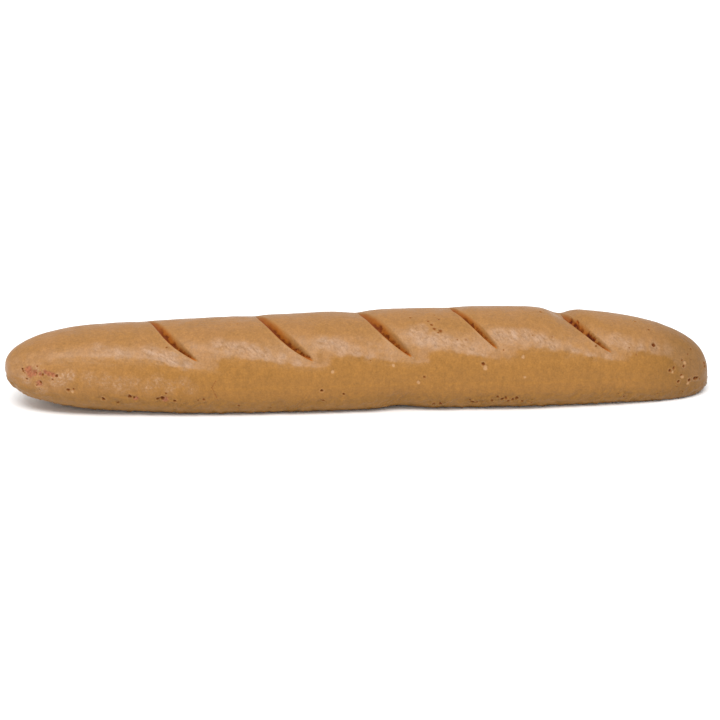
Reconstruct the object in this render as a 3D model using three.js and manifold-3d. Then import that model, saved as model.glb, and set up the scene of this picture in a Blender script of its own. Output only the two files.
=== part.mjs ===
// A baguette: one baked loaf, tapered and rounded at both ends, with a flat underside and five
// slanting score cuts across its domed top. Millimetres, +X along the loaf, +Z up. The origin is
// the middle of the underside, on the surface that the loaf lies on.
import * as THREE from 'three';
import { LoftGeometry } from 'three/addons/geometries/LoftGeometry.js';
import { mergeVertices } from 'three/addons/utils/BufferGeometryUtils.js';
import Module from 'manifold-3d';

// Driving dimensions
const LENGTH = 520;
const HALF_LENGTH = LENGTH / 2;

// Outlines along the loaf: [x, value], with a smooth curve through the points
const HALF_WIDTH = [
  [-260, 38.5], [-190, 36], [-120, 39.5], [-40, 41], [40, 39], [120, 40.5], [190, 37.5], [260, 36.5],
];
const TOP_RISE = [
  [-260, 29.5], [-190, 30.5], [-120, 36.5], [-40, 39], [40, 41.5], [120, 41.5], [190, 37], [260, 46],
];
const BELLY_HEIGHT = [
  [-260, 29], [-190, 28], [-120, 24], [-40, 24], [40, 24], [120, 23.5], [190, 22.5], [260, 11],
];
const BASE_DROP = 30; // the belly to the foot of the uncut underside, which the flat base cuts off

// Rounded ends: how far each taper runs in, and how blunt it is
const LEFT_TAPER = { run: 86, power: 0.42 };
const RIGHT_TAPER = { run: 105, power: 0.385 };
const TIP_TRIM = 0.15; // the loft's first and last section, in from the tips

// Cross-section: a dome that meets the leaning side walls in a soft shoulder
const DOME_DROP = 0.17; // how far the dome's centre lies under the belly, as a share of the rise
const WALL_LEAN = [
  [-260, 0.42], [-190, 0.42], [-120, 0.36], [-40, 0.32], [40, 0.32], [120, 0.36], [190, 0.38], [260, 0.38],
];
const SHOULDER_POWER = 14;
const UNDERSIDE_POWER = 2.4;
const SHOULDER_FADE = 60; // the shoulder fades out over this length at each end

// Score cuts. At an angle from the ridge towards the front, a cut lies slant mm along the loaf for
// each radian and sweep mm for its cube. Behind the ridge it keeps only a share of that, backSlant.
// It runs out at backEnd degrees behind the ridge and at frontEnd degrees before it.
const SCORES = [
  {
    ridgeX: -149, slant: 17.5, sweep: 12, backSlant: 0.85, backEnd: 38, frontEnd: 58,
    depth: 5.0, width: 6.6, ridgeSag: 1.0, shoulderSag: 3.5,
  },
  {
    ridgeX: -71, slant: 22, sweep: 9, backSlant: 0.6, backEnd: 38, frontEnd: 62,
    depth: 6.0, width: 7.6, ridgeSag: 1.2, shoulderSag: 3.5,
  },
  {
    ridgeX: 4, slant: 21, sweep: 7, backSlant: 0.6, backEnd: 38, frontEnd: 62,
    depth: 6.0, width: 7.4, ridgeSag: 2.4, shoulderSag: 3.8,
  },
  {
    ridgeX: 70, slant: 25, sweep: 4, backSlant: 0.35, backEnd: 34, frontEnd: 55,
    depth: 5.0, width: 5.6, ridgeSag: 0.7, shoulderSag: 2.6,
  },
  {
    ridgeX: 153, slant: 17, sweep: 11, backSlant: 0.35, backEnd: 38, frontEnd: 58,
    depth: 5.5, width: 6.8, ridgeSag: 6.5, shoulderSag: 3.5,
  },
];
// How fast a cut widens and deepens from its back end, and closes towards its front end
const OPENING = { rise: 1.0, fall: 0.5 };
const DEEPENING = { rise: 2.0, fall: 0.7 };
const LEAST_FULLNESS = 0.06;
const LEFT_OF_PATH = 0.3; // the share of a cut's width that lies left of its path
const BOTTOM = 0.2; // the bottom of a cut, as a share of its width from the left lip
const CUTTER_STANDOFF = 6;

// The dough sinks beside a cut, gently to its left and sharply to its right
const SAG = {
  leftAtRidge: 12, leftAtShoulder: 27, rightAtRidge: 8, rightAtShoulder: 13,
  shoulder: 50, from: 64, to: 82, backShare: 0.5, backFade: 45,
};

// Mesh resolution
const STATIONS = 60;
const RING_POINTS = 56;
const SCORE_STEPS = 20;
const TIP_CROWDING = 0.75; // 0 spaces the sections evenly, 1 crowds them most towards the tips
const TURN_STEP = 0.01; // radians either side of a point, to find which way a cut runs
const WELD = 1e-4;

const CRUST = { color: 0xbd8a55, roughness: 0.55, metalness: 0 };

const { clamp, degToRad, lerp, smoothstep } = THREE.MathUtils;

// The value at x of a smooth curve through an outline's points
function outlineAt(outline, x) {
  const next = outline.findIndex(([px]) => px > x);
  const k = next < 0 ? outline.length - 2 : Math.max(0, next - 1);
  const slope = (j) => {
    const before = outline[Math.max(0, j - 1)];
    const after = outline[Math.min(outline.length - 1, j + 1)];
    return (after[1] - before[1]) / (after[0] - before[0]);
  };
  const span = outline[k + 1][0] - outline[k][0];
  const t = (x - outline[k][0]) / span;
  const s = 1 - t;
  return s * s * (1 + 2 * t) * outline[k][1] + t * t * (3 - 2 * t) * outline[k + 1][1]
    + t * s * span * (s * slope(k) - t * slope(k + 1));
}

// 1 in the middle of the loaf, falling to 0 at its tips
function taperAt(x) {
  const left = clamp((x + HALF_LENGTH) / LEFT_TAPER.run, 0, 1);
  const right = clamp((HALF_LENGTH - x) / RIGHT_TAPER.run, 0, 1);
  return (1 - (1 - left) ** 2) ** LEFT_TAPER.power * (1 - (1 - right) ** 2) ** RIGHT_TAPER.power;
}

// Where the path of a score lies along the loaf, at an angle from the ridge towards the front
function scoreX(score, fromRidge) {
  const held = Math.max(fromRidge, fromRidge * score.backSlant);
  return score.ridgeX + score.slant * held + score.sweep * held ** 3;
}

// How far the dome sinks beside the score cuts
function sagAt(x, fromRidge) {
  const degrees = THREE.MathUtils.radToDeg(fromRidge);
  const reach = 1 - smoothstep(Math.abs(degrees), SAG.from, SAG.to);
  const side = smoothstep(degrees, 0, SAG.shoulder);
  const back = 1 - SAG.backShare * smoothstep(-degrees, 0, SAG.backFade);
  const leftRun = lerp(SAG.leftAtRidge, SAG.leftAtShoulder, side);
  const rightRun = lerp(SAG.rightAtRidge, SAG.rightAtShoulder, side);
  return SCORES.reduce((sum, score) => {
    const along = x - scoreX(score, fromRidge);
    const depth = lerp(score.ridgeSag, score.shoulderSag, side);
    return sum + reach * back * depth * Math.exp(-((along / (along < 0 ? leftRun : rightRun)) ** 2));
  }, 0);
}

// The radius of the unit section at an angle: 0 at the back, a quarter turn at the ridge
function sectionRadius(x, angle) {
  const c = Math.abs(Math.cos(angle));
  const s = Math.abs(Math.sin(angle));
  if (Math.sin(angle) < 0) return (c ** UNDERSIDE_POWER + s ** UNDERSIDE_POWER) ** (-1 / UNDERSIDE_POWER);
  const sag = sagAt(x, angle - Math.PI / 2) / outlineAt(TOP_RISE, 0);
  const dome = Math.sqrt((1 + DOME_DROP) ** 2 - (DOME_DROP * c) ** 2) - DOME_DROP * s - sag;
  const wall = 1 / (c + outlineAt(WALL_LEAN, x) * s * s);
  const body = (dome ** -SHOULDER_POWER + wall ** -SHOULDER_POWER) ** (-1 / SHOULDER_POWER);
  return lerp(1, body, smoothstep(HALF_LENGTH - Math.abs(x), 0, SHOULDER_FADE));
}

// A point of the loaf's skin
function skinPoint(x, angle) {
  const taper = taperAt(x);
  const radius = sectionRadius(x, angle);
  const reach = Math.sin(angle) >= 0 ? outlineAt(TOP_RISE, x) : BASE_DROP;
  const y = outlineAt(HALF_WIDTH, x) * taper * radius * Math.cos(angle);
  const z = outlineAt(BELLY_HEIGHT, x) + reach * taper * radius * Math.sin(angle);
  return new THREE.Vector3(x, y, Math.max(0, z));
}

function ring(x) {
  return Array.from({ length: RING_POINTS }, (_, j) => skinPoint(x, (j / RING_POINTS) * 2 * Math.PI));
}

// The uncut loaf: sections that crowd together towards the tips
function doughLoft() {
  const sections = Array.from({ length: STATIONS }, (_, i) => {
    const t = i / (STATIONS - 1);
    return ring((HALF_LENGTH - TIP_TRIM) * lerp(2 * t - 1, -Math.cos(Math.PI * t), TIP_CROWDING));
  });
  return new LoftGeometry(sections, { capStart: true, capEnd: true });
}

// How wide or deep a cut is along its length: 0 at its ends and 1 where it is fullest
function fullnessAt({ rise, fall }, t) {
  const curve = (u) => u ** rise * (1 - u) ** fall;
  return Math.max(LEAST_FULLNESS, curve(t) / curve(rise / (rise + fall)));
}

// One score cut: a steep left lip, a bottom close to it and a wall that leans away to the right
function scoreCutter(score) {
  const pathPoint = (fromRidge) => skinPoint(scoreX(score, fromRidge), fromRidge + Math.PI / 2);
  const sections = Array.from({ length: SCORE_STEPS + 1 }, (_, i) => {
    const t = i / SCORE_STEPS;
    const fromRidge = degToRad(lerp(-score.backEnd, score.frontEnd, t));
    const middle = pathPoint(fromRidge);
    const along = pathPoint(fromRidge + TURN_STEP).sub(pathPoint(fromRidge - TURN_STEP)).normalize();
    const out = new THREE.Vector3(0, -Math.sin(fromRidge), Math.cos(fromRidge));
    const right = new THREE.Vector3().crossVectors(out, along).normalize();
    out.crossVectors(along, right);
    const width = score.width * fullnessAt(OPENING, t);
    const depth = score.depth * fullnessAt(DEEPENING, t);
    const corner = (share, up) => {
      const sideways = (share - LEFT_OF_PATH) * width;
      return middle.clone().addScaledVector(right, sideways).addScaledVector(out, up);
    };
    return [
      corner(1, 0),
      corner(1, CUTTER_STANDOFF),
      corner(0, CUTTER_STANDOFF),
      corner(0, 0),
      corner(BOTTOM, -depth),
    ];
  });
  return new LoftGeometry(sections, { capStart: true, capEnd: true });
}

const wasm = await Module();
wasm.setup();

// A closed geometry as a manifold-3d solid
function solidOf(geometry) {
  const skin = new THREE.BufferGeometry().copy(geometry);
  skin.deleteAttribute('normal');
  skin.deleteAttribute('uv');
  const merged = mergeVertices(skin, WELD);
  return new wasm.Manifold(new wasm.Mesh({
    numProp: 3,
    vertProperties: merged.attributes.position.array,
    triVerts: new Uint32Array(merged.index.array),
  }));
}

function geometryOf(solid) {
  const mesh = solid.getMesh();
  const geometry = new THREE.BufferGeometry();
  geometry.setAttribute('position', new THREE.BufferAttribute(mesh.vertProperties, 3));
  geometry.setIndex(new THREE.BufferAttribute(mesh.triVerts, 1));
  geometry.computeVertexNormals();
  return geometry;
}

function loaf() {
  const dough = solidOf(doughLoft());
  const scored = SCORES.reduce((solid, score) => solid.subtract(solidOf(scoreCutter(score))), dough);
  const mesh = new THREE.Mesh(geometryOf(scored), new THREE.MeshStandardMaterial(CRUST));
  mesh.name = 'loaf';
  return mesh;
}

const baguette = new THREE.Group();
baguette.add(loaf());
export default baguette;
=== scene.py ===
# A baguette on a pale studio floor: one loaf with five score cuts, baked pits and a flat underside
import math
import bmesh
import bpy
import numpy as np
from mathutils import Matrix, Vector, kdtree


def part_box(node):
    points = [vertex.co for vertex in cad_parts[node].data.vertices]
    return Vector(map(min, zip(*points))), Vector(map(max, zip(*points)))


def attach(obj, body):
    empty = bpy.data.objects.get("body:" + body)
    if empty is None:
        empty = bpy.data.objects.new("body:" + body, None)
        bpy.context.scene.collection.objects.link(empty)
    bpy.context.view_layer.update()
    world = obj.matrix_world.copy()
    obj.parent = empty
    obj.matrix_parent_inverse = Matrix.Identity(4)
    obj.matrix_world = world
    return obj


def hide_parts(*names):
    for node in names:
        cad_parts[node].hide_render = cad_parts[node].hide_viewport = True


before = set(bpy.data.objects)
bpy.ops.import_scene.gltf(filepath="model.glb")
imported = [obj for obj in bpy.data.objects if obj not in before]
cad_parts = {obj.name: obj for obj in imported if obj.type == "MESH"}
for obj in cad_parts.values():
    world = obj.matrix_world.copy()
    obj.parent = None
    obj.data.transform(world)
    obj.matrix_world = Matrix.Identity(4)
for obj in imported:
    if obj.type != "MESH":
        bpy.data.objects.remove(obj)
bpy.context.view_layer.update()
scene = bpy.context.scene
loafLow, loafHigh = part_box("loaf")
builtLength = 519.7  # the loaf's length in mm, which every size below goes with
mm = (loafHigh.x - loafLow.x) / builtLength  # metres in a millimetre of the loaf, at the frame's size

# the camera, in degrees and metres
view = {"azimuth": -3.4, "elevation": 22.0, "distance": 1.478, "aimHeight": 0.028, "lens": 100.0}


def makeCamera():
    around, above = math.radians(view["azimuth"]), math.radians(view["elevation"])
    back = (math.sin(around) * math.cos(above), -math.cos(around) * math.cos(above), math.sin(above))
    camera = bpy.data.objects.new("camera", bpy.data.cameras.new("camera"))
    camera.data.lens = view["lens"]
    camera.location = [way * view["distance"] for way in back]
    camera.location.z += view["aimHeight"]
    camera.rotation_euler = (math.pi / 2 - above, 0, around)
    scene.collection.objects.link(camera)
    scene.camera = camera


makeCamera()
print("camera set")


# helpers that build nodes, for geometry and shader trees alike
def plug(tree, socket, value):
    if isinstance(value, bpy.types.NodeSocket):
        tree.links.new(value, socket)
    elif value is not None:
        socket.default_value = value


def addNode(tree, kind, inputs=None, **settings):
    made = tree.nodes.new(kind)
    for name, value in settings.items():
        setattr(made, name, value)
    for name, value in (inputs or {}).items():
        plug(tree, made.inputs[name], value)
    return made


def calc(tree, operation, *values, clamp=False):
    made = addNode(tree, "ShaderNodeMath", dict(enumerate(values)), operation=operation, use_clamp=clamp)
    return made.outputs[0]


def times(tree, first, *others):
    for other in others:
        first = calc(tree, "MULTIPLY", first, other)
    return first


def vector(tree, operation, *values, scale=None):
    made = addNode(tree, "ShaderNodeVectorMath", dict(enumerate(values)), operation=operation)
    if scale is not None:
        plug(tree, made.inputs["Scale"], scale)
    return made.outputs["Value" if operation in ("LENGTH", "DISTANCE", "DOT_PRODUCT") else "Vector"]


def ramp(tree, value, low, high, toLow=0.0, toHigh=1.0, curve="SMOOTHSTEP"):
    ends = {"Value": value, "From Min": low, "From Max": high, "To Min": toLow, "To Max": toHigh}
    return addNode(tree, "ShaderNodeMapRange", ends, interpolation_type=curve).outputs["Result"]


def hump(tree, value, centre, reach):
    # 1 at the centre, 0 past the reach on both sides
    off = calc(tree, "ABSOLUTE", calc(tree, "SUBTRACT", value, centre))
    return ramp(tree, off, 0.0, reach, 1.0, 0.0)


def noise(tree, position, lump, detail=2.0, rough=0.5, color=False):
    # lump is the width of the noise's lumps, in mm or as a socket in metres
    scale = calc(tree, "DIVIDE", 1.0, lump) if isinstance(lump, bpy.types.NodeSocket) else 1 / (lump * mm)
    made = addNode(tree, "ShaderNodeTexNoise", {"Vector": position, "Scale": scale, "Detail": detail,
                                                "Roughness": rough})
    return made.outputs[1 if color else 0]


def swing(tree, value, height):
    # noise about 0.5 becomes a height about 0
    return times(tree, calc(tree, "SUBTRACT", value, 0.5), height)


def warp(tree, position, lump, reach):
    # moves a position about a little, so that round shapes turn ragged
    shift = vector(tree, "SUBTRACT", noise(tree, position, lump, color=True), (0.5, 0.5, 0.5))
    return vector(tree, "ADD", position, vector(tree, "SCALE", shift, scale=reach))


def startTree(name, sockets):
    tree = bpy.data.node_groups.new(name, "GeometryNodeTree")
    kinds = {float: "NodeSocketFloat", int: "NodeSocketInt", str: "NodeSocketString",
             object: "NodeSocketObject"}
    tree.interface.new_socket("Geometry", in_out="INPUT", socket_type="NodeSocketGeometry")
    tree.interface.new_socket("Geometry", in_out="OUTPUT", socket_type="NodeSocketGeometry")
    for label, kind in sockets.items():
        tree.interface.new_socket(label, in_out="INPUT", socket_type=kinds[kind])
    tree.interface.new_socket("Material", in_out="INPUT", socket_type="NodeSocketMaterial")
    return tree, tree.nodes.new("NodeGroupInput").outputs


def endTree(tree, given, geometry):
    real = addNode(tree, "GeometryNodeRealizeInstances", {"Geometry": geometry})
    dressed = addNode(tree, "GeometryNodeSetMaterial",
                      {"Geometry": real.outputs[0], "Material": given["Material"]})
    plug(tree, tree.nodes.new("NodeGroupOutput").inputs[0], dressed.outputs[0])


def stored(tree, name, kind="FLOAT"):
    made = addNode(tree, "GeometryNodeInputNamedAttribute", {"Name": name}, data_type=kind)
    return made.outputs["Attribute"]


def store(tree, geometry, name, value):
    made = addNode(tree, "GeometryNodeStoreNamedAttribute",
                   {"Geometry": geometry, "Name": name, "Value": value}, data_type="FLOAT", domain="POINT")
    return made.outputs[0]


def push(tree, geometry, height):
    # moves the surface out, along the normal that the uncut dough had
    way = stored(tree, "outward", "FLOAT_VECTOR")
    moved = addNode(tree, "GeometryNodeSetPosition",
                    {"Geometry": geometry, "Offset": vector(tree, "SCALE", way, scale=height)})
    return moved.outputs[0]


def addTree(piece, tree, values):
    modifier = piece.modifiers.new(tree.name, "NODES")
    modifier.node_group = tree
    for item in tree.interface.items_tree:
        if item.in_out == "INPUT" and item.name in values:
            modifier[item.identifier] = values[item.name]


def socketName(key):
    # the name of a tree's input for a value, such as Lump Height for lumpHeight
    return "".join(" " + letter if letter.isupper() else letter for letter in key).title()


def settledMesh(piece):
    # what the modifiers make of a piece, as a plain mesh
    bpy.context.view_layer.update()
    return bpy.data.meshes.new_from_object(piece.evaluated_get(bpy.context.evaluated_depsgraph_get()))


def settle(piece):
    mesh = settledMesh(piece)
    piece.modifiers.clear()
    piece.data = mesh


# the uncut loaf: outlines in mm from its left tip to its right, and the shape of its section
dough = {
    "halfLength": 260,
    "halfWidth": [(-260, 38.5), (-190, 36), (-120, 39.5), (-40, 41), (40, 39), (120, 40.5), (190, 37.5),
                  (260, 36.5)],
    "topRise": [(-260, 29.5), (-190, 30.5), (-120, 36.5), (-40, 39), (40, 41.5), (120, 41.5), (190, 37),
                (260, 46)],
    "bellyHeight": [(-260, 29), (-190, 28), (-120, 24), (-40, 24), (40, 24), (120, 23.5), (190, 22.5),
                    (260, 11)],
    "wallLean": [(-260, .42), (-190, .42), (-120, .36), (-40, .32), (40, .32), (120, .36), (190, .38),
                 (260, .38)],
    "baseDrop": 30,
    "leftRun": 86, "leftPower": 0.42,
    "rightRun": 105, "rightPower": 0.385,
    "domeDrop": 0.17, "shoulderPower": 14, "undersidePower": 2.4, "shoulderFade": 60,
    "crownMost": 5, "crownAtTips": 2,
}
# where each cut crosses the ridge, in mm, how it runs from there, in mm to the radian, and its ends in
# degrees; a pit in it is the degrees from the ridge, the mm to the right of the path, and the radius
scores = [
    {"ridgeX": -149, "slant": 17.5, "sweep": 12, "backSlant": 0.85, "backEnd": 38, "frontEnd": 58,
     "depth": 5.0, "width": 8.2, "ridgeSag": 1.0, "shoulderSag": 3.5,
     "pits": [(12, -1.2, 1.1), (16, -.8, 1.1), (41.5, .6, 1.6), (46, .9, 1.3), (50.5, .6, 1.3)]},
    {"ridgeX": -71, "slant": 22, "sweep": 9, "backSlant": 0.6, "backEnd": 38, "frontEnd": 62,
     "depth": 6.0, "width": 9.5, "ridgeSag": 1.2, "shoulderSag": 3.5,
     "pits": [(9, .4, 1.0), (42, 1.4, 1.1), (47, 2.2, 1.1), (52, 1.0, 1.4), (56, 1.5, 1.4)]},
    {"ridgeX": 4, "slant": 21, "sweep": 7, "backSlant": 0.6, "backEnd": 38, "frontEnd": 62,
     "depth": 6.0, "width": 9.2, "ridgeSag": 2.4, "shoulderSag": 3.8,
     "pits": [(20, 1.2, 1.0), (33, .8, 1.1), (41, 1.3, 1.5), (48, .8, 1.3), (57, .3, 1.3)]},
    {"ridgeX": 70, "slant": 25, "sweep": 4, "backSlant": 0.35, "backEnd": 34, "frontEnd": 55,
     "depth": 5.0, "width": 7.0, "ridgeSag": 0.7, "shoulderSag": 2.6,
     "pits": [(13, .6, 1.0), (24, 1.0, 1.1), (29, 1.5, 1.2), (34, 1.1, 1.3), (41, .8, 1.1),
              (48, .5, .9)]},
    {"ridgeX": 153, "slant": 17, "sweep": 11, "backSlant": 0.35, "backEnd": 38, "frontEnd": 58,
     "depth": 5.5, "width": 8.5, "ridgeSag": 6.5, "shoulderSag": 3.5,
     "pits": [(1, 2.0, 2.2), (9, 4.2, 1.5), (9.5, 1.8, 2.0), (14, 2.0, 1.7), (22, 1.8, 1.7),
              (31, 2.1, 1.9), (34.5, 2.0, 2.3), (38.5, 1.9, 1.9), (45, 1.5, 1.5), (50, 1.1, 1.2)]},
]
scoring = {
    # how a cut opens and deepens from its back end and closes to its front, and where its bottom lies
    "openRise": 1.0, "openFall": 0.5, "depthRise": 2.0, "depthFall": 0.7, "leftOfPath": 0.3, "floor": 0.2,
    # how far its path wavers, its walls are torn, its lip stands up and the crevice in it sinks, and how
    # wide the lumps of these are, in mm
    "wobble": 0.7, "wobbleLump": 9, "tear": 1.4, "tearLump": 2.4, "lip": 0.25, "crevice": 0.9,
    "creviceLump": 3.6,
    # how far across the cut the crevice and the brown reach, as shares, and how much further near the ridge
    "creviceTo": 0.37, "creviceRagged": 1.1, "darkTo": 0.15, "brownTo": 0.87, "climb": 0.2,
    # how far to its left and right, in mm, the dough sinks beside it, and where that fades, in degrees
    "leftAtRidge": 12, "leftAtShoulder": 27, "rightAtRidge": 8, "rightAtShoulder": 13, "shoulder": 50,
    "sagFrom": 64, "sagTo": 82, "backShare": 0.5, "backFade": 45,
}
# the mesh: how many stations and points around, how close together they stand at a cut, on the underside
# and at the tips, and how they lean
grid = {"stations": 410, "around": 168, "fine": 0.5, "coarse": 1.6, "fineFrom": -5, "fineTo": 6.5,
        "fineFade": 4, "undersideShare": 0.45, "undersideFrom": 1.75, "undersideTo": 2.2, "tipGap": 0.001,
        "tipRadius": 38, "tipLean": 9, "tipLeanAt": 215, "leanTo": 66, "samples": 40001,
        "turnSamples": 3601}


def smooth(value, low=0.0, high=1.0):
    t = np.clip((value - low) / (high - low), 0, 1)
    return t * t * (3 - 2 * t)


def curveThrough(points, x):
    px, py = np.array(points, float).T
    k = np.clip(np.searchsorted(px, x, side="right") - 1, 0, len(px) - 2)
    places = np.arange(len(px))
    before, after = np.maximum(places - 1, 0), np.minimum(places + 1, len(px) - 1)
    slope = (py[after] - py[before]) / (px[after] - px[before])
    span = px[k + 1] - px[k]
    t = (x - px[k]) / span
    s = 1 - t
    return (s * s * (1 + 2 * t) * py[k] + t * t * (3 - 2 * t) * py[k + 1]
            + t * s * span * (s * slope[k] - t * slope[k + 1]))


def taperAt(x):
    left = np.clip((x + dough["halfLength"]) / dough["leftRun"], 0, 1)
    right = np.clip((dough["halfLength"] - x) / dough["rightRun"], 0, 1)
    return (1 - (1 - left) ** 2) ** dough["leftPower"] * (1 - (1 - right) ** 2) ** dough["rightPower"]


def scoreX(score, turn):
    # where the path of a cut lies along the loaf; behind the ridge it runs more squarely across
    held = np.maximum(turn, turn * score["backSlant"])
    return score["ridgeX"] + score["slant"] * held + score["sweep"] * held ** 3


def sagAt(x, turn):
    # how far the dome sinks beside the cuts: gently on their left and sharply on their right
    degrees = np.degrees(turn)
    reach = 1 - smooth(abs(degrees), scoring["sagFrom"], scoring["sagTo"])
    side = smooth(degrees, 0, scoring["shoulder"])
    back = 1 - scoring["backShare"] * smooth(-degrees, 0, scoring["backFade"])
    sag = 0
    for score in scores:
        along = x - scoreX(score, turn)
        left, right = (scoring[way + "AtRidge"] * (1 - side) + scoring[way + "AtShoulder"] * side
                       for way in ("left", "right"))
        run = np.where(along < 0, left, right)
        depth = score["ridgeSag"] + (score["shoulderSag"] - score["ridgeSag"]) * side
        sag = sag + reach * back * depth * np.exp(-(along / run) ** 2)
    return sag


def domeAndWall(x, turn):
    # how far the unit section reaches at an angle, as a dome and as a leaning side wall
    across, up = abs(np.sin(turn)), abs(np.cos(turn))
    sag = sagAt(x, turn) / curveThrough(dough["topRise"], 0.0)
    drop = dough["domeDrop"]
    dome = np.sqrt((1 + drop) ** 2 - (drop * across) ** 2) - drop * up - sag
    return dome, 1 / (across + curveThrough(dough["wallLean"], x) * up * up)


def shoulderAt(x):
    return smooth(dough["halfLength"] - abs(x), 0, dough["shoulderFade"])


def skin(x, turn):
    # points of the loaf's skin, in mm; turn is the angle from the ridge, positive towards the front
    x, turn = np.broadcast_arrays(np.asarray(x, float), np.asarray(turn, float))
    dome, wall = domeAndWall(x, turn)
    power = dough["shoulderPower"]
    body = 1 + ((dome ** -power + wall ** -power) ** (-1 / power) - 1) * shoulderAt(x)
    power = dough["undersidePower"]
    under = (abs(np.sin(turn)) ** power + abs(np.cos(turn)) ** power) ** (-1 / power)
    upper = np.cos(turn) >= 0
    radius = np.where(upper, body, under) * taperAt(x)
    reach = np.where(upper, curveThrough(dough["topRise"], x), dough["baseDrop"])
    y = -curveThrough(dough["halfWidth"], x) * radius * np.sin(turn)
    z = curveThrough(dough["bellyHeight"], x) + reach * radius * np.cos(turn)
    return np.stack([x, y, np.maximum(z, 0)], -1)


def crownAt(x, turn):
    # how far, in mm, the skin lies above the crease between dome and side wall
    dome, wall = domeAndWall(x, turn)
    most, share = dough["crownMost"], shoulderAt(x)
    above = np.clip((wall - dome) * dough["baseDrop"], -most, most)
    return np.where(np.cos(turn) > 0, above * share + dough["crownAtTips"] * (1 - share), -most)


def spread(density, where, count):
    # count values over where, crowded as density says, with both ends kept
    total = np.concatenate([[0], np.cumsum((density[1:] + density[:-1]) / 2 * np.diff(where))])
    return np.interp(np.linspace(0, total[-1], count), total, where)


def gridLines():
    # stations along the loaf, close together at the cuts and tips
    half = dough["halfLength"] - grid["tipGap"]
    x = np.linspace(-half, half, grid["samples"])
    spacing = np.full_like(x, grid["coarse"])
    for score in scores:
        off = x - score["ridgeX"]
        near = smooth(off, grid["fineFrom"] - grid["fineFade"], grid["fineFrom"]) * (
            1 - smooth(off, grid["fineTo"], grid["fineTo"] + 1.5 * grid["fineFade"]))
        spacing += (grid["fine"] - grid["coarse"]) * near
    radius = grid["tipRadius"] * taperAt(x)
    steep = np.sqrt(1 + np.gradient(radius, x) ** 2)
    stations = spread(steep / spacing, x, grid["stations"])
    turn = np.linspace(-math.pi, math.pi, grid["turnSamples"])
    ringPoints = skin(np.zeros_like(turn), turn)
    length = np.linalg.norm(np.gradient(ringPoints, axis=0), axis=1) / (turn[1] - turn[0])
    below = smooth(abs(turn), grid["undersideFrom"], grid["undersideTo"])
    density = length * (1 - (1 - grid["undersideShare"]) * below)
    turns = spread(density, turn, grid["around"] + 1)[:-1]
    return stations, turns


def shearAt(station, turn):
    # leans the grid so that its lines run along the cuts
    half, leanAt, lean = dough["halfLength"], grid["tipLeanAt"], grid["tipLean"]
    slants = [(score["ridgeX"], score["slant"]) for score in scores]
    slants = [(-half, 0), (-leanAt, lean)] + slants + [(leanAt, lean), (half, 0)]
    sweeps = [(-half, 0)] + [(score["ridgeX"], score["sweep"]) for score in scores] + [(half, 0)]
    shares = [(score["ridgeX"], score["backSlant"]) for score in scores]
    slant, sweep, share = (np.interp(station, *np.array(way, float).T) for way in (slants, sweeps, shares))
    limit = math.radians(grid["leanTo"])
    held = np.clip(turn, -limit, limit)
    held = np.maximum(held, held * share)
    fade = 1 - smooth(abs(turn), limit, math.pi)
    return (slant * held + sweep * held ** 3) * fade


def makePiece(name, points, faces, values=None):
    # an object from points in metres, with a value for each point under each name
    mesh = bpy.data.meshes.new(name)
    mesh.from_pydata(np.asarray(points).tolist(), [], faces)
    for label, value in (values or {}).items():
        value = np.asarray(value, np.float32)
        kind, part = ("FLOAT_VECTOR", "vector") if value.ndim == 2 else ("FLOAT", "value")
        mesh.attributes.new(label, kind, "POINT").data.foreach_set(part, value.ravel())
    mesh.update()
    piece = bpy.data.objects.new(name, mesh)
    scene.collection.objects.link(piece)
    return piece


def buildDough():
    stations, turns = gridLines()
    rows, columns = len(stations), len(turns)
    half = dough["halfLength"]
    x = stations[:, None] + shearAt(stations[:, None], turns[None, :])
    x = np.clip(x, grid["tipGap"] - half, half - grid["tipGap"])
    turn = np.broadcast_to(turns[None, :], x.shape)
    tips = [[side * half, 0, curveThrough(dough["bellyHeight"], float(side * half))] for side in (-1, 1)]
    points = np.concatenate([skin(x, turn).reshape(-1, 3), tips]) * mm
    i, j = np.meshgrid(np.arange(rows - 1), np.arange(columns), indexing="ij")
    a, b = i * columns + j, i * columns + (j + 1) % columns
    quads = np.stack([a, b, b + columns, a + columns], -1).reshape(-1, 4).tolist()
    leftTip, rightTip = rows * columns, rows * columns + 1
    ringStart = (rows - 1) * columns
    fans = [(leftTip, (k + 1) % columns, k) for k in range(columns)]
    fans += [(rightTip, ringStart + k, ringStart + (k + 1) % columns) for k in range(columns)]
    return makePiece("crust", points, quads + fans, {
        "rest": points, "turn": np.append(turn.ravel(), [0, 0]),
        "crown": np.append(crownAt(x, turn), [1, 1])})


crust = buildDough()
print("dough shaped:", len(crust.data.polygons), "faces")

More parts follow.
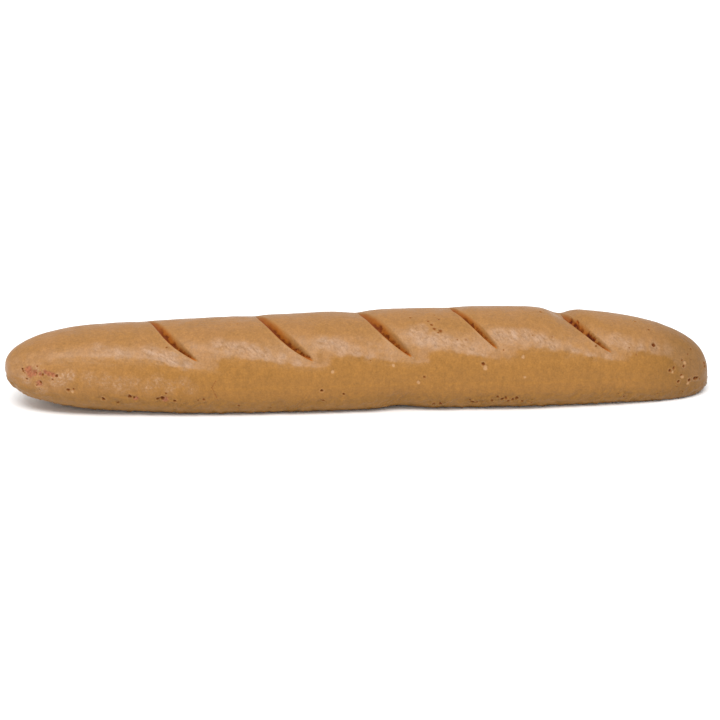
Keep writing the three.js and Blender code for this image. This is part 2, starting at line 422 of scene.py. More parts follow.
# marks in the skin, one by one: mm along the loaf, degrees from the ridge, radius and depth in mm; the
# shallower a pit, the fainter its colour
bigMarks = {
    "pit": [(-245, 68, 1.4, 1.2), (-244.5, 73, 1.2, .9), (-243.5, 77, 1.0, .6), (-242, 89, 1.3, .8),
            (-234, 63, 1.1, .5), (-235, 75, 1.2, .4), (-230, 78, 1.4, .9), (-220, 79, 1.5, 1.0),
            (-115, 106, 1.5, .6), (-119, 107, 1.1, .5), (-223, 85, 1.2, .7), (-232, 92, 1.5, .9),
            (-235, 98, 1.1, .6), (-233, 107, 1.0, .5), (-225, 97, 1.0, .3), (-212, 101, 1.7, 1.0),
            (-208, 99, 1.2, .6), (-187, 112, 1.9, 1.2), (-177, 118, 1.4, 1.0), (-168, 106, 1.8, 1.1),
            (-165, 108, 1.4, .9), (-145, 106, 2.2, 1.4), (-148, 107, 1.5, 1.0), (-136, 109, 1.4, .9),
            (-141, 39, 1.1, .5), (-30, 95, 1.5, 1.3), (-29, 111, 1.2, .8), (-90, 116, 1.2, .8),
            (-14, 102, 1.2, .8), (36, 14, 1.3, .8), (49, 21, 1.5, .5), (51, 26, 1.8, .7),
            (53, 32, 1.8, .6), (57, 35, 1.9, .7), (57, 18, 1.5, .5), (54, 10, 1.2, .3),
            (55.5, 36.5, 1.3, .4), (69, 45, 1.2, .4), (75, 45, 1.1, .3), (87, 70, 1.7, 1.1),
            (102, 56, 1.0, .4), (124, 41, 1.0, .5), (138, 42, 1.0, .4), (52, 124, 1.7, .9),
            (57, 124, 1.6, .9), (80, 121, 1.9, 1.1), (83, 122, 1.5, .9), (101, 115, 1.6, 1.0),
            (106, 119, 1.5, .9), (112, 115, 1.6, .9), (78, 117, 1.2, .6), (94, 118, 1.4, .8),
            (98, 111, 1.4, .7), (104, 114, 1.3, .8), (109, 117, 1.5, .9), (116, 119, 1.4, .8),
            (200, 59, 1.2, .3), (203, 6, 1.1, .6), (212, 20, 1.3, .7), (214, 44, 1.9, 1.4),
            (244, 34, 1.2, .7), (241, 47, 1.1, .6), (236, 58, 1.2, .6), (237, 67, 1.4, .9),
            (229, 71, 1.5, .9), (226, 75, 1.6, 1.0), (235, 80, 1.3, .7), (233, 89, 1.5, 1.0),
            (242, 87, 1.6, 1.1), (246.5, 84, 1.9, 1.6), (248.5, 83, 1.6, 1.4), (250.5, 85, 1.1, .4),
            (232, 100, 1.1, .3), (255, 48, 1.6, .8), (255.5, 56, 1.6, .9)],
    "nick": [(-209, 103, 1.6, .3), (88.5, 74, 2.3, .5), (116, 63, 1.7, .5), (117, 84, 1.3, .3),
             (40, 88, 1.6, .4), (-22, 74, 1.7, .4), (238, 61.5, 1.8, .4), (236, 83, 1.7, .4),
             (241, 93, 1.6, .3), (22, 70, 1.6, .3), (228, 77, 1.3, .3), (163.5, 28, 1.2, .3),
             (168.5, 35, 1.2, .3), (158, 12, 1.2, .3)],
    "chip": [(-240.5, 70, 3.7, .7), (-239.5, 78, 3.3, .6), (-236, 75, 2.8, .5), (-232, 77, 2.0, .5),
             (-228, 73, 2.2, .5), (-225.5, 75.5, 2.3, .5), (-222.5, 77.5, 2.5, .4), (-233, 94, 2.8, .5),
             (-143, 107, 3.2, .5), (-164, 109, 2.4, .4)],
}
# each pit in a cut is two dents: how many degrees each lies off, their sizes as shares of the pit's, and
# the depth of a pit with a radius of 1 mm
cutPit = {"apart": 0.9, "backSize": 1.04, "frontSize": 0.86, "depth": 0.28}
# a hairline crack down the front wall, as small pits in a row
crack = {"route": [(-106, 81), (-109, 88), (-106.5, 97), (-105, 106)], "marks": 22, "radius": 0.75,
         "depth": 0.3}
# pale, puckered patches along the shoulder, their paleness partly a painted highlight, and dusty ones at the
# left end, partly painted light on its side wall: mm along, degrees from the ridge, radius in mm and
# strength
patches = {
    "pale": [(-190, 42, 8, .5), (-183, 45, 8, .5), (-175, 48, 8, .5), (-168, 51, 8, .5),
             (-152, 46, 9, .9), (-145, 52, 9, 1), (-137, 57, 8, 1), (-127, 62, 7, .8),
             (-103, 40, 9, .7), (-95, 43, 9, .8), (-87, 45, 9, .8), (-79, 48, 9, .8), (-71, 52, 8, .7),
             (-60, 57, 7, .6), (-47, 62, 6, .5), (-29, 41, 8, .8), (-22, 45, 9, .9), (-14, 50, 8, .8),
             (-5, 56, 7, .6), (5, 61, 7, .6), (18, 66, 6, .5), (37, 35, 8, .8), (44, 32, 7, .8),
             (43, 44, 9, .9), (51, 47, 9, .9), (60, 46, 8, .7), (69, 51, 8, .7), (79, 56, 7, .7),
             (88, 59, 6, .6), (100, 39, 9, .9), (109, 42, 9, 1), (119, 41, 9, 1), (129, 45, 9, 1),
             (138, 51, 8, .9), (151, 58, 7, .8), (165, 63, 6, .8), (177, 63, 6, .8), (186, 42, 8, .6),
             (194, 46, 8, .6), (204, 50, 8, .6), (215, 49, 8, .5), (225, 46, 8, .4)],
    "dust": [(-216, 82, 8, .8), (-211, 78, 7, .7), (-222, 90, 8, .6), (-232, 103, 8, .5),
             (-243, 88, 6, .6), (-234, 70, 7, .5), (-196, 80, 9, .35), (-186, 86, 9, .35),
             (-176, 90, 9, .35), (-166, 86, 9, .35), (-155, 90, 9, .35), (-148, 82, 8, .35),
             (-139, 89, 8, .35), (-130, 82, 7, .3), (-124, 92, 7, .25)],
}
farSide = {"shift": 14, "share": 0.8}  # the pale patches on the back: how far along, and how strong
# small pits left to chance: how many to a square metre over the skin, its lower edge and its tips, their
# size in mm, where the edge is, in degrees from the ridge, and where the tips are, in mm
smallPits = {"seed": 11, "skin": 400.0, "edge": 2600.0, "tips": 1500.0, "least": 0.8, "most": 1.5,
             "fewLarge": 2.5, "depth": 0.5, "edgeAt": 114, "edgeRun": 13, "lowest": 128, "lowestFade": 6,
             "tipFrom": 205, "tipTo": 240}
# how the mesh is split finer round each mark, in mm and shares
refining = {"rounds": 2, "reach": 1.35, "margin": 0.7, "laterMargin": 0.3, "leastEdge": 0.35}


def smallPitTree():
    tree, given = startTree("smallPits", {"Seed": int, "On The Skin": float, "At The Edge": float,
                                          "At The Tips": float, "Least Radius": float, "Most Radius": float,
                                          "Depth": float})
    x = addNode(tree, "ShaderNodeSeparateXYZ", {0: stored(tree, "rest", "FLOAT_VECTOR")}).outputs[0]
    away = calc(tree, "ABSOLUTE", stored(tree, "turn"))
    edge = hump(tree, away, math.radians(smallPits["edgeAt"]), math.radians(smallPits["edgeRun"]))
    outer = ramp(tree, calc(tree, "ABSOLUTE", x), smallPits["tipFrom"] * mm, smallPits["tipTo"] * mm)
    tip = times(tree, outer, ramp(tree, away, 0.6, 1.2))
    lowest = smallPits["lowest"]
    seen = ramp(tree, away, math.radians(lowest), math.radians(lowest - smallPits["lowestFade"]))
    density = calc(tree, "MULTIPLY_ADD", edge, given["At The Edge"],
                   calc(tree, "MULTIPLY_ADD", tip, given["At The Tips"], given["On The Skin"]))
    density = times(tree, density, seen)
    points = addNode(tree, "GeometryNodeDistributePointsOnFaces",
                     {"Mesh": given["Geometry"], "Density": density, "Seed": given["Seed"]},
                     distribute_method="RANDOM")
    chance = addNode(tree, "FunctionNodeRandomValue", {"Seed": given["Seed"]}, data_type="FLOAT").outputs[1]
    share = calc(tree, "POWER", chance, smallPits["fewLarge"])
    dots = addNode(tree, "GeometryNodePointsToVertices", {"Points": points.outputs["Points"]}).outputs[0]
    span = calc(tree, "SUBTRACT", given["Most Radius"], given["Least Radius"])
    radius = calc(tree, "MULTIPLY_ADD", share, span, given["Least Radius"])
    dots = store(tree, dots, "reach", radius)
    dots = store(tree, dots, "dent", times(tree, radius, given["Depth"]))
    endTree(tree, given, dots)
    return tree


def scatterSmallPits(piece):
    # returns where the small pits are, with their radius and depth, all in metres
    addTree(piece, smallPitTree(), {
        "Seed": smallPits["seed"], "On The Skin": smallPits["skin"], "At The Edge": smallPits["edge"],
        "At The Tips": smallPits["tips"], "Least Radius": smallPits["least"] * mm,
        "Most Radius": smallPits["most"] * mm, "Depth": smallPits["depth"]})
    dots = settledMesh(piece)
    piece.modifiers.clear()
    where = np.empty((len(dots.vertices), 3), np.float32)
    dots.vertices.foreach_get("co", where.ravel())
    sizes = np.empty((2, len(dots.vertices)), np.float32)
    dots.attributes["reach"].data.foreach_get("value", sizes[0])
    dots.attributes["dent"].data.foreach_get("value", sizes[1])
    return [(point, reach, dent) for point, reach, dent in zip(where, *sizes)]


def placeMarks(marks):
    turn = np.radians([mark[1] for mark in marks])
    where = skin([mark[0] for mark in marks], turn) * mm
    return [(point, mark[2] * mm, mark[3] * mm) for point, mark in zip(where, marks)]


def cutPits():
    # pits along the bottom of each cut, each of two dents that run together
    dents = [(-cutPit["apart"], cutPit["backSize"]), (cutPit["apart"], cutPit["frontSize"])]
    marks = []
    for score in scores:
        for degrees, off, radius in score["pits"]:
            for along, size in dents:
                x = scoreX(score, math.radians(degrees + along)) + off
                marks.append((x, degrees + along, radius * size, radius ** 2 * cutPit["depth"]))
    return placeMarks(marks)


def crackMarks():
    x, degrees = np.array(crack["route"], float).T
    along = np.linspace(0, len(x) - 1, crack["marks"])
    spots = zip(np.interp(along, range(len(x)), x), np.interp(along, range(len(x)), degrees))
    return placeMarks([(x, degrees, crack["radius"], crack["depth"]) for x, degrees in spots])


def makeHolder(kind, found):
    # an object of single points, each with the radius and depth of its mark
    return makePiece(kind + "Marks", [mark[0] for mark in found], [],
                     {"reach": [mark[1] for mark in found], "dent": [mark[2] for mark in found]})


def makeMarks(piece):
    marks = {kind: placeMarks(places) for kind, places in bigMarks.items()}
    marks["pit"] += cutPits() + crackMarks() + scatterSmallPits(piece)
    return {kind: makeHolder(kind, found) for kind, found in marks.items()}


def makePatches():
    back = [(x + farSide["shift"], -degrees, radius, strength * farSide["share"])
            for x, degrees, radius, strength in patches["pale"]]
    return {"pale": makeHolder("pale", placeMarks(patches["pale"] + back)),
            "dust": makeHolder("dust", placeMarks(patches["dust"]))}


def refineAt(piece, marks):
    # splits the faces round every mark, so that it has enough points to take its shape
    places = [(spot.co.copy(), reach.value) for holder in marks.values()
              for spot, reach in zip(holder.data.vertices, holder.data.attributes["reach"].data)]
    tree = kdtree.KDTree(len(places))
    for k, (where, reach) in enumerate(places):
        tree.insert(where, k)
    tree.balance()
    shape = bmesh.new()
    shape.from_mesh(piece.data)
    margin, leastEdge = refining["margin"] * mm, refining["leastEdge"] * mm
    for stage in range(refining["rounds"]):
        near = []
        for face in shape.faces:
            where, k, away = tree.find(face.calc_center_median())
            if away < places[k][1] * refining["reach"] + margin:
                near.append(face)
        margin = refining["margin"] * mm * refining["laterMargin"]
        edges = list({edge for face in near for edge in face.edges if edge.calc_length() > leastEdge})
        bmesh.ops.subdivide_edges(shape, edges=edges, cuts=1, use_grid_fill=True)
    shape.to_mesh(piece.data)
    shape.free()
    outward = np.empty(3 * len(piece.data.vertices), np.float32)
    piece.data.vertices.foreach_get("normal", outward)
    piece.data.attributes.new("outward", "FLOAT_VECTOR", "POINT").data.foreach_set("vector", outward)


marks = makeMarks(crust)
patchMarks = makePatches()
refineAt(crust, marks)
print("marks placed:", sum(len(holder.data.vertices) for holder in marks.values()))


def cutValues(score):
    # what goes into a cut's tree, in metres, radians and shares
    values = {key: score[key] * mm for key in ("ridgeX", "slant", "sweep", "depth", "width")}
    values.update({key: scoring[key] * mm for key in ("wobble", "tear", "lip", "crevice")})
    values.update({key: math.radians(score[key]) for key in ("frontEnd", "backEnd")})
    shares = ("openRise", "openFall", "depthRise", "depthFall", "leftOfPath", "floor")
    values.update({key: scoring[key] for key in shares})
    values["backSlant"] = score["backSlant"]
    return {socketName(key): value for key, value in values.items()}


def scoreCutTree():
    tree, given = startTree("scoreCut", {name: float for name in cutValues(scores[0])})
    rest, turn = stored(tree, "rest", "FLOAT_VECTOR"), stored(tree, "turn")
    x = addNode(tree, "ShaderNodeSeparateXYZ", {0: rest}).outputs[0]
    way = calc(tree, "MAXIMUM", turn, times(tree, turn, given["Back Slant"]))
    path = calc(tree, "MULTIPLY_ADD", times(tree, way, way, way), given["Sweep"],
                calc(tree, "MULTIPLY_ADD", way, given["Slant"], given["Ridge X"]))
    wobble = swing(tree, noise(tree, rest, scoring["wobbleLump"], 4.0, 0.6), given["Wobble"])
    drift = calc(tree, "ADD", calc(tree, "SUBTRACT", x, path), wobble)
    whole = calc(tree, "ADD", given["Front End"], given["Back End"])
    t = calc(tree, "DIVIDE", calc(tree, "ADD", turn, given["Back End"]), whole, clamp=True)

    def fullness(kind):
        # 0 at both ends of the cut and 1 where it is fullest
        rise, fall = given[kind + " Rise"], given[kind + " Fall"]

        def curve(share):
            return times(tree, calc(tree, "POWER", share, rise),
                         calc(tree, "POWER", calc(tree, "SUBTRACT", 1.0, share), fall))

        fullest = calc(tree, "DIVIDE", rise, calc(tree, "ADD", rise, fall))
        return calc(tree, "DIVIDE", curve(t), curve(fullest))

    deep = fullness("Depth")
    width = calc(tree, "MAXIMUM", times(tree, given["Width"], fullness("Open")), 1e-5)
    # 0 at the cut's left lip and 1 at its right
    across = calc(tree, "ADD", calc(tree, "DIVIDE", drift, width), given["Left Of Path"])
    leftWall = ramp(tree, across, 0.0, given["Floor"])
    rightWall = ramp(tree, across, given["Floor"], 1.05, 1.0, 0.0)
    visible = ramp(tree, deep, 0.0, 0.4)
    sunk = times(tree, leftWall, rightWall)
    rough = swing(tree, noise(tree, rest, scoring["tearLump"], 3.0, 0.6), given["Tear"])
    tear = times(tree, sunk, deep, rough)
    lip = times(tree, hump(tree, across, -0.18, 0.12), visible)
    # the crevice: a split along the bottom, its darkness painted shade, with a ragged upper edge that climbs
    # towards the ridge
    climb = ramp(tree, turn, 0.2, 0.8, scoring["climb"], 0.0)
    torn = swing(tree, noise(tree, rest, scoring["creviceLump"], 3.0, 0.6), scoring["creviceRagged"])
    edge = calc(tree, "ADD", torn, calc(tree, "ADD", climb, scoring["creviceTo"]))
    past = calc(tree, "SUBTRACT", across, edge)
    split = times(tree, ramp(tree, across, -0.06, 0.03), ramp(tree, past, -0.12, 0.08, 1.0, 0.0),
                  ramp(tree, deep, 0.35, 0.95))
    walls = calc(tree, "SUBTRACT", tear, times(tree, deep, sunk, given["Depth"]))
    edges = calc(tree, "SUBTRACT", times(tree, lip, given["Lip"]), times(tree, split, given["Crevice"]))
    cut = push(tree, given["Geometry"], calc(tree, "ADD", walls, edges))
    # the brown of the cut, darkest along its left lip: partly the opened crust's colour, partly painted
    # shade
    brown = calc(tree, "SUBTRACT", across, climb)
    fade = ramp(tree, brown, scoring["darkTo"], scoring["brownTo"], 1.0, 0.0, "LINEAR")
    shade = times(tree, ramp(tree, across, -0.09, -0.03), fade, visible)
    cut = store(tree, cut, "cut", calc(tree, "MAXIMUM", stored(tree, "cut"), shade))
    cut = store(tree, cut, "crevice", calc(tree, "MAXIMUM", stored(tree, "crevice"), split))
    cut = store(tree, cut, "lip", calc(tree, "MAXIMUM", stored(tree, "lip"), lip))
    endTree(tree, given, cut)
    return tree


def cutScores(piece):
    tree = scoreCutTree()
    for score in scores:
        addTree(piece, tree, cutValues(score))


cutScores(crust)


# a rim round a mark, as shares of its radius, how strongly it is marked, and the faintest mark
rims = {"at": 1.12, "run": 0.36, "mark": 2.0, "faintest": 0.15}
# how the patches are marked out, in mm and shares; they are not pressed in
patching = {"edge": 0.15, "ragged": 9, "lump": 9, "fullDepth": 1}


def pressTree():
    # sinks the skin at each of the marks, raises a rim round them, and stores how much each point lies in
    # one, below zero on a rim
    tree, given = startTree("pressMarks", {
        "Marks": object, "Mask": str, "Edge": float, "Ragged": float, "Lump": float, "Press": float,
        "Rim": float, "Full Depth": float})
    rest = stored(tree, "rest", "FLOAT_VECTOR")
    dots = addNode(tree, "GeometryNodeObjectInfo", {"Object": given["Marks"]}).outputs["Geometry"]
    ragged = warp(tree, rest, given["Lump"], given["Ragged"])
    nearest = addNode(tree, "GeometryNodeSampleNearest", {"Geometry": dots, "Sample Position": ragged},
                      domain="POINT").outputs[0]

    def sampled(value, kind="FLOAT"):
        made = addNode(tree, "GeometryNodeSampleIndex", {"Geometry": dots}, data_type=kind, domain="POINT")
        plug(tree, made.inputs["Value"], value)
        plug(tree, made.inputs["Index"], nearest)
        return made.outputs[0]

    centre = sampled(tree.nodes.new("GeometryNodeInputPosition").outputs[0], "FLOAT_VECTOR")
    dent = sampled(stored(tree, "dent"))
    share = calc(tree, "DIVIDE", vector(tree, "DISTANCE", ragged, centre), sampled(stored(tree, "reach")))
    inside = ramp(tree, share, given["Edge"], 1.0, 1.0, 0.0)
    rim = times(tree, hump(tree, share, rims["at"], rims["run"]), given["Rim"])
    height = times(tree, calc(tree, "SUBTRACT", rim, inside), dent, given["Press"])
    strength = ramp(tree, dent, 0.0, given["Full Depth"], rims["faintest"], 1.0, "LINEAR")
    mask = times(tree, calc(tree, "SUBTRACT", inside, times(tree, rim, rims["mark"])), strength)
    named = store(tree, push(tree, given["Geometry"], height), given["Mask"], mask)
    endTree(tree, given, named)
    return tree


pressing = pressTree()


def addPatches(piece, holders):
    for kind, holder in holders.items():
        addTree(piece, pressing, {"Marks": holder, "Mask": kind, "Edge": patching["edge"],
                                  "Ragged": patching["ragged"] * mm, "Lump": patching["lump"] * mm,
                                  "Press": 0.0, "Rim": 0.0, "Full Depth": patching["fullDepth"] * mm})


addPatches(crust, patchMarks)

# the crust's relief, in mm: broad lumps, a leathery pucker on the pale patches, drag marks down the wall, a
# rough foot, and one place where the foot stands off the surface
relief = {"lump": 42, "lumpHeight": 1.3, "dimple": 12, "dimpleHeight": 0.6, "pucker": 4.4,
          "puckerHeight": 2.0, "crease": 0.8, "dragHeight": 0.5, "foot": 5.0, "footHeight": 5.0,
          "liftAt": 27, "liftRun": 24, "lift": 2.6}
# how the pucker runs: the mm to a radian round the loaf, how it leans and is drawn out along the cuts, and
# how much of its noise is a crease
puckering = {"arc": 40, "lean": -0.55, "drawnOut": 0.45, "creaseWidth": 0.09}


def puckerAt(tree, x, turn, lump):
    # noise drawn out along the cuts; it is 0.5 along the creases
    arc = times(tree, turn, puckering["arc"] * mm)
    along = calc(tree, "MULTIPLY_ADD", arc, puckering["lean"], x)
    down = times(tree, arc, puckering["drawnOut"])
    flow = addNode(tree, "ShaderNodeCombineXYZ", {0: along, 1: down}).outputs[0]
    return noise(tree, flow, lump, 2.0)


def creaseAt(tree, pucker):
    # 1 along the creases of the pucker, 0 away from them
    return hump(tree, pucker, 0.5, puckering["creaseWidth"])


def reliefTree():
    tree, given = startTree("crustRelief", {socketName(key): float for key in relief})
    rest, turn = stored(tree, "rest", "FLOAT_VECTOR"), stored(tree, "turn")
    x, y, z = addNode(tree, "ShaderNodeSeparateXYZ", {0: rest}).outputs[:3]
    away = calc(tree, "ABSOLUTE", turn)
    raised = ramp(tree, z, 0.5 * mm, 4 * mm)  # 0 on the flat underside
    lumps = swing(tree, noise(tree, rest, given["Lump"], 1.0), given["Lump Height"])
    dimples = swing(tree, noise(tree, rest, given["Dimple"], 2.0), given["Dimple Height"])
    wave = puckerAt(tree, x, turn, given["Pucker"])
    patch = ramp(tree, stored(tree, "pale"), 0.1, 0.8)
    swell = swing(tree, wave, given["Pucker Height"])
    crease = times(tree, creaseAt(tree, wave), given["Crease"])
    pucker = times(tree, calc(tree, "SUBTRACT", swell, crease), patch)
    down = addNode(tree, "ShaderNodeCombineXYZ", {0: x, 1: times(tree, turn, 6 * mm)}).outputs[0]
    wall = hump(tree, away, math.radians(92), math.radians(24))
    drag = times(tree, swing(tree, noise(tree, down, given["Pucker"], 2.0), given["Drag Height"]), wall)
    low = times(tree, ramp(tree, away, math.radians(96), math.radians(113)), ramp(tree, z, 0.0, 1 * mm))
    foot = times(tree, swing(tree, noise(tree, rest, given["Foot"], 4.0, 0.65), given["Foot Height"]), low)
    front = ramp(tree, turn, math.radians(86), math.radians(122))
    lifted = times(tree, hump(tree, x, given["Lift At"], given["Lift Run"]), front, given["Lift"])
    fine = calc(tree, "ADD", dimples, calc(tree, "ADD", pucker, drag))
    height = times(tree, calc(tree, "ADD", lumps, fine), raised)
    moved = push(tree, given["Geometry"], calc(tree, "SUBTRACT", calc(tree, "ADD", height, foot), lifted))
    endTree(tree, given, moved)
    return tree


def addRelief(piece):
    addTree(piece, reliefTree(), {socketName(key): value * mm for key, value in relief.items()})


addRelief(crust)


def levelTree():
    # nothing reaches below the surface that the loaf lies on
    tree, given = startTree("levelFoot", {"Floor": float})
    here = tree.nodes.new("GeometryNodeInputPosition").outputs[0]
    x, y, z = addNode(tree, "ShaderNodeSeparateXYZ", {0: here}).outputs[:3]
    held = addNode(tree, "ShaderNodeCombineXYZ", {0: x, 1: y, 2: calc(tree, "MAXIMUM", z, given["Floor"])})
    moved = addNode(tree, "GeometryNodeSetPosition",
                    {"Geometry": given["Geometry"], "Position": held.outputs[0]})
    endTree(tree, given, moved.outputs[0])
    return tree


# how each kind of mark is pressed in, in mm and shares: where its wall starts, how ragged it is, its rim,
# and the depth from which its colour is full
pressings = {"chip": {"edge": 0.55, "ragged": 3.2, "rim": 0.0, "fullDepth": 0.3},
             "nick": {"edge": 0.45, "ragged": 1.8, "rim": 0.0, "fullDepth": 0.3},
             "pit": {"edge": 0.1, "ragged": 2.0, "rim": 0.15, "fullDepth": 1.1}}
raggedLump = 2.2  # the width of the notches in the marks' outlines, in mm


def pressMarks(piece, holders):
    for kind, way in pressings.items():
        addTree(piece, pressing, {"Marks": holders[kind], "Mask": kind, "Edge": way["edge"],
                                  "Ragged": way["ragged"] * mm, "Lump": raggedLump * mm, "Press": 1.0,
                                  "Rim": way["rim"], "Full Depth": way["fullDepth"] * mm})
    addTree(piece, levelTree(), {"Floor": 0.0})
    settle(piece)


pressMarks(crust, marks)
for holder in [*marks.values(), *patchMarks.values()]:
    bpy.data.objects.remove(holder)
print("scores cut, relief and marks pressed:", len(crust.data.polygons), "faces")

# colours as light reflected in red, green and blue
shades = {
    "tan": (0.276, 0.129, 0.035), "amber": (0.260, 0.119, 0.026), "rosy": (0.292, 0.137, 0.045),
    "wall": (0.262, 0.115, 0.019), "foot": (0.226, 0.103, 0.015), "underside": (0.165, 0.070, 0.016),
    "pale": (0.368, 0.224, 0.135), "dust": (0.375, 0.222, 0.126), "lip": (0.33, 0.172, 0.062),
    "cutEdge": (0.335, 0.143, 0.035), "cutWall": (0.320, 0.092, 0.006), "cutFloor": (0.250, 0.057, 0.002),
    "crevice": (0.155, 0.027, 0.0005), "scorched": (0.090, 0.010, 0.0002), "rim": (0.38, 0.20, 0.09),
    "stain": (0.190, 0.060, 0.009), "pit": (0.130, 0.032, 0.004), "nick": (0.40, 0.22, 0.10),
    "chip": (0.32, 0.105, 0.045), "chipDark": (0.200, 0.060, 0.022),
}
# how wide the patches of each kind are, in mm
patchiness = {"cloud": 26, "shoulderHighlight": 7, "blotch": 4.5, "drag": 2.6, "fleck": 2.0, "speckle": 1.3,
              "streak": 2.6, "flake": 1.8, "wear": 9}
# how much of the tan and of the foot's brown, partly painted shade, is mixed in, how much of the pale is
# left in a crease, and how much painted shade darkens the creases, the right end, partly a darker bake too,
# and the back
bakingAndShade = {"tanShare": 0.65, "footShare": 0.75, "creasePale": 0.45, "creaseShade": 0.86, "endShade": 0.78,
          "farShade": 0.92}
# the surface: its roughness and shine, and the widths and depths of its grain and leather, in mm
surface = {"roughness": 0.43, "cutRoughness": 0.7, "pitRoughness": 0.9, "specular": 0.24, "grain": 1.3,
           "grainDepth": 0.2, "leather": 3.0, "leatherDepth": 0.55, "bump": 0.5}


def attribute(tree, name):
    return addNode(tree, "ShaderNodeAttribute", attribute_name=name).outputs["Fac"]


def mix(tree, amount, first, second):
    made = addNode(tree, "ShaderNodeMix", {"Factor": amount}, data_type="RGBA")
    for socket, value in zip((made.inputs[6], made.inputs[7]), (first, second)):
        plug(tree, socket, (*value, 1) if isinstance(value, tuple) else value)
    return made.outputs[2]


def crustColor(tree, place, turn):
    # tan dough skin, more amber down its side, partly its own colour and partly painted shade, with a
    # painted highlight as a paler band on the shoulder
    x, y, z = addNode(tree, "ShaderNodeSeparateXYZ", {0: place}).outputs[:3]
    away = calc(tree, "ABSOLUTE", turn)
    cloudy = noise(tree, place, patchiness["cloud"], 3.0, 0.6)
    color = mix(tree, ramp(tree, cloudy, 0.35, 0.65), shades["amber"], shades["rosy"])
    color = mix(tree, bakingAndShade["tanShare"], color, shades["tan"])
    ragged = swing(tree, noise(tree, place, patchiness["shoulderHighlight"], 4.0, 0.6), 2.2)
    crown = calc(tree, "ADD", attribute(tree, "crown"), ragged)
    # the side wall below the crease turns amber: partly the crust's own colour and partly painted shade,
    # faded towards the left end, which is painted as more brightly lit
    rightward = ramp(tree, x, -230 * mm, -130 * mm, 0.15, 0.85)
    side = times(tree, ramp(tree, crown, -0.3, 0.5, 1.0, 0.0), rightward)
    color = mix(tree, side, color, shades["wall"])
    patchy = noise(tree, place, patchiness["shoulderHighlight"], 3.0, 0.6)
    # painted highlight: a paler band on the shoulders, above the crease
    below = ramp(tree, away, math.radians(28), math.radians(48))
    shoulderHighlight = times(tree, ramp(tree, crown, -0.1, 0.7), below, ramp(tree, patchy, 0.3, 0.7, 0.05, 0.25))
    color = mix(tree, shoulderHighlight, color, shades["pale"])
    wave = puckerAt(tree, x, turn, relief["pucker"])
    crease = times(tree, creaseAt(tree, wave), attribute(tree, "pale"))
    bared = ramp(tree, crease, 0.0, 1.0, 1.0, bakingAndShade["creasePale"], "LINEAR")
    # the pale patches: partly the crust's own paler colour, partly a painted highlight
    pale = times(tree, attribute(tree, "pale"), ramp(tree, crown, -0.6, 0.4),
                 ramp(tree, patchy, 0.3, 0.7, 0.5, 0.85), bared)
    color = mix(tree, pale, color, shades["pale"])
    # darker and browner down the lower wall, as painted shade, and towards the right end, partly a darker
    # bake and partly painted shade
    foot = calc(tree, "MAXIMUM", ramp(tree, away, math.radians(98), math.radians(120)),
                ramp(tree, x, 200 * mm, 245 * mm, 0.0, 0.6))
    color = mix(tree, times(tree, foot, bakingAndShade["footShare"]), color, shades["foot"])
    # pale dust round the chips at the left end; the faint patches along the left side wall are painted light
    flecks = noise(tree, place, patchiness["fleck"], 3.0, 0.7)
    dustyAndLit = times(tree, attribute(tree, "dust"), ramp(tree, flecks, 0.45, 0.65, 0.3, 1.3))
    color = mix(tree, dustyAndLit, color, shades["dust"])
    blotchy = ramp(tree, noise(tree, place, patchiness["blotch"], 4.0, 0.6), 0.35, 0.65, 0.94, 1.05)
    specks = noise(tree, place, patchiness["speckle"], 3.0, 0.7)
    speckle = ramp(tree, specks, 0.3, 0.7, 0.85, 1.15, "LINEAR")
    down = addNode(tree, "ShaderNodeCombineXYZ", {0: x, 1: y, 2: times(tree, z, 0.2)}).outputs[0]
    drag = ramp(tree, noise(tree, down, patchiness["drag"], 3.0, 0.6), 0.3, 0.7, 0.94, 1.06, "LINEAR")
    # the right end darker: partly a darker bake, partly painted shade
    end = ramp(tree, x, 190 * mm, 250 * mm, 1.0, bakingAndShade["endShade"])
    # painted shade: the back, past the ridge, a little darker, which darkens the top outline
    backShade = ramp(tree, turn, math.radians(-22), math.radians(-10), bakingAndShade["farShade"], 1.0)
    # painted shade in the creases of the pucker
    shaded = ramp(tree, crease, 0.0, 1.0, 1.0, bakingAndShade["creaseShade"], "LINEAR")
    return vector(tree, "SCALE", color, scale=times(tree, speckle, blotchy, drag, end, backShade, shaded))


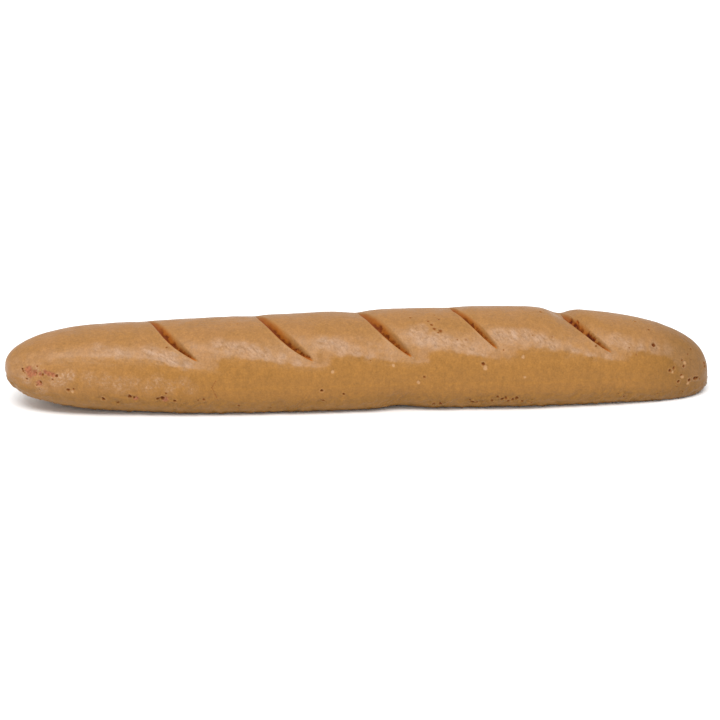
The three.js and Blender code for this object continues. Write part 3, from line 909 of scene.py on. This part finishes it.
def bakedColor(tree, place, turn):
    color = crustColor(tree, place, turn)
    height = addNode(tree, "ShaderNodeSeparateXYZ", {0: place}).outputs[2]
    color = mix(tree, ramp(tree, height, 0.3 * mm, 1.6 * mm, 1.0, 0.0), color, shades["underside"])
    # painted highlight: a paler line along the raised left lip of each cut
    color = mix(tree, times(tree, attribute(tree, "lip"), 0.35), color, shades["lip"])
    streaky = swing(tree, noise(tree, place, patchiness["streak"], 3.0, 0.65), 0.55)
    opened = attribute(tree, "cut")
    cut = calc(tree, "ADD", opened, times(tree, streaky, ramp(tree, opened, 0.1, 0.5)))
    # from orange-brown to dark red-brown at the left lip: partly the opened crust, partly painted shade
    inCut = mix(tree, ramp(tree, cut, 0.2, 0.65), shades["cutEdge"], shades["cutWall"])
    inCut = mix(tree, ramp(tree, cut, 0.7, 1.0), inCut, shades["cutFloor"])
    # painted shade: the cut darker near the ridge, which faces the light, and lighter towards the front
    inCut = vector(tree, "SCALE", inCut, scale=ramp(tree, turn, -0.35, 0.6, 0.7, 1.05))
    color = mix(tree, ramp(tree, cut, 0.0, 0.35), color, inCut)
    # painted shade: the crevice painted near black-brown
    crevice = ramp(tree, attribute(tree, "crevice"), 0.05, 0.8, 0.0, 0.9)
    color = mix(tree, crevice, color, shades["crevice"])
    flaky = ramp(tree, noise(tree, place, patchiness["flake"], 3.0, 0.6), 0.42, 0.6)
    torn = mix(tree, flaky, shades["chip"], shades["chipDark"])
    color = mix(tree, times(tree, attribute(tree, "chip"), 0.9), color, torn)
    color = mix(tree, times(tree, attribute(tree, "nick"), 0.85), color, shades["nick"])
    pit = attribute(tree, "pit")
    rim = times(tree, ramp(tree, pit, -0.4, -0.05, 0.5, 0.0), ramp(tree, opened, 0.0, 0.3, 1.0, 0.0))
    color = mix(tree, rim, color, shades["rim"])
    inside = ramp(tree, opened, 0.0, 0.15)
    stain = mix(tree, inside, shades["stain"], shades["cutFloor"])
    color = mix(tree, ramp(tree, pit, 0.02, 0.45), color, stain)
    deepest = mix(tree, inside, shades["pit"], shades["scorched"])
    return mix(tree, ramp(tree, pit, 0.45, 0.85), color, deepest)


def makeCrustMaterial():
    material = bpy.data.materials.new("bakedCrust")
    material.use_nodes = True
    tree = material.node_tree
    tree.nodes.clear()
    place = tree.nodes.new("ShaderNodeTexCoord").outputs["Object"]
    turn = attribute(tree, "turn")
    wear = noise(tree, place, patchiness["wear"], 3.0)
    worn = ramp(tree, wear, 0.3, 0.7, surface["roughness"] - 0.06, surface["roughness"] + 0.07)
    rough = ramp(tree, attribute(tree, "cut"), 0.0, 0.4, worn, surface["cutRoughness"])
    rough = ramp(tree, attribute(tree, "pit"), 0.05, 0.5, rough, surface["pitRoughness"])
    leather = addNode(tree, "ShaderNodeBump", {
        "Height": noise(tree, place, surface["leather"], 3.0, 0.6),
        "Distance": surface["leatherDepth"] * mm, "Strength": surface["bump"]})
    grain = addNode(tree, "ShaderNodeBump", {
        "Height": noise(tree, place, surface["grain"], 3.0, 0.7), "Normal": leather.outputs[0],
        "Distance": surface["grainDepth"] * mm, "Strength": surface["bump"]})
    shader = addNode(tree, "ShaderNodeBsdfPrincipled", {
        "Base Color": bakedColor(tree, place, turn), "Roughness": rough,
        "Specular IOR Level": surface["specular"], "Normal": grain.outputs[0]})
    plug(tree, tree.nodes.new("ShaderNodeOutputMaterial").inputs[0], shader.outputs[0])
    return material


crust.data.materials.clear()
crust.data.materials.append(makeCrustMaterial())
crust.data.polygons.foreach_set("use_smooth", [True] * len(crust.data.polygons))
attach(crust, "root")
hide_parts("loaf")
print("crust baked")

# the studio, in metres, watts and degrees
studio = {"floorSize": 8.0, "floorDrop": 0.0003, "floorPaint": 0.93, "floorRoughness": 0.9, "world": 0.92,
          "softbox": (2.8, 0.9), "softboxPower": 84.0, "softboxDistance": 3.0, "softboxHeight": 60.0,
          "softboxTurn": -12.0}


def makeFloor():
    half = studio["floorSize"] / 2
    corners = [(-half, -half, 0), (half, -half, 0), (half, half, 0), (-half, half, 0)]
    floor = makePiece("floor", corners, [(0, 1, 2, 3)])
    floor.location.z = -studio["floorDrop"]
    paint = bpy.data.materials.new("floorPaint")
    paint.use_nodes = True
    shader = paint.node_tree.nodes["Principled BSDF"]
    shader.inputs["Base Color"].default_value = (*[studio["floorPaint"]] * 3, 1)
    shader.inputs["Roughness"].default_value = studio["floorRoughness"]
    floor.data.materials.append(paint)


def makeLight():
    scene.world = bpy.data.worlds.new("studio")
    scene.world.use_nodes = True
    background = scene.world.node_tree.nodes["Background"]
    background.inputs["Color"].default_value = (1, 1, 1, 1)
    background.inputs["Strength"].default_value = studio["world"]
    box = bpy.data.lights.new("softbox", "AREA")
    box.shape = "RECTANGLE"
    box.size, box.size_y = studio["softbox"]
    box.energy = studio["softboxPower"]
    lamp = bpy.data.objects.new("softbox", box)
    above, around = math.radians(studio["softboxHeight"]), math.radians(studio["softboxTurn"])
    flat = math.cos(above)
    way = Vector((math.sin(around) * flat, -math.cos(around) * flat, math.sin(above)))
    lamp.location = way * studio["softboxDistance"]
    lamp.rotation_euler = (math.pi / 2 - above, 0, around)
    scene.collection.objects.link(lamp)


makeFloor()
makeLight()
scene.view_settings.view_transform = "Standard"
print("studio lit")
